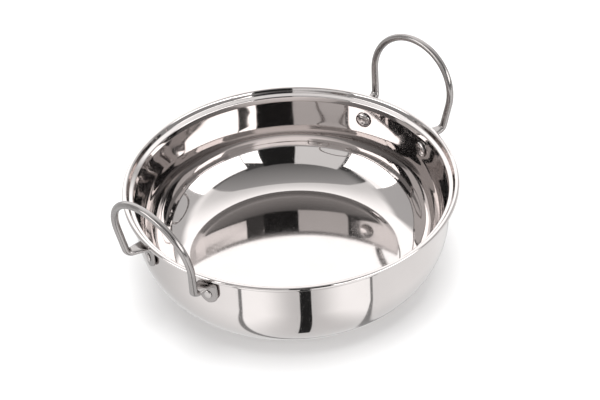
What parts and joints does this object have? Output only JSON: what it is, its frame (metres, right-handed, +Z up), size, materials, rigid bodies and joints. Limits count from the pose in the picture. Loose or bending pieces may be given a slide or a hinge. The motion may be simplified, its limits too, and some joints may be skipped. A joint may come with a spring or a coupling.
{
  "type": "kadai",
  "caption": "Round flat-based steel pan with nearly upright walls, a sloped beaded lip and riveted wire loop handles, for cooking and serving.",
  "frame": {"origin": "centre of the flat base, on the surface that the pan stands on", "axes": "+Z up along the bowl's axis, +X towards one handle, +Y towards the back"},
  "size_m": [0.276, 0.24, 0.1292],
  "materials": {
    "polished_steel": "mirror-polished stainless steel",
    "wire_steel": "polished stainless steel wire",
    "rivet_steel": "polished stainless steel, hand set"
  },
  "bodies": {
    "root": {"bowl": "polished_steel", "handle_right": "wire_steel", "handle_left": "wire_steel", "rivet_right_front": "rivet_steel", "rivet_right_back": "rivet_steel", "rivet_left_front": "rivet_steel", "rivet_left_back": "rivet_steel"}
  },
  "joints": []
}
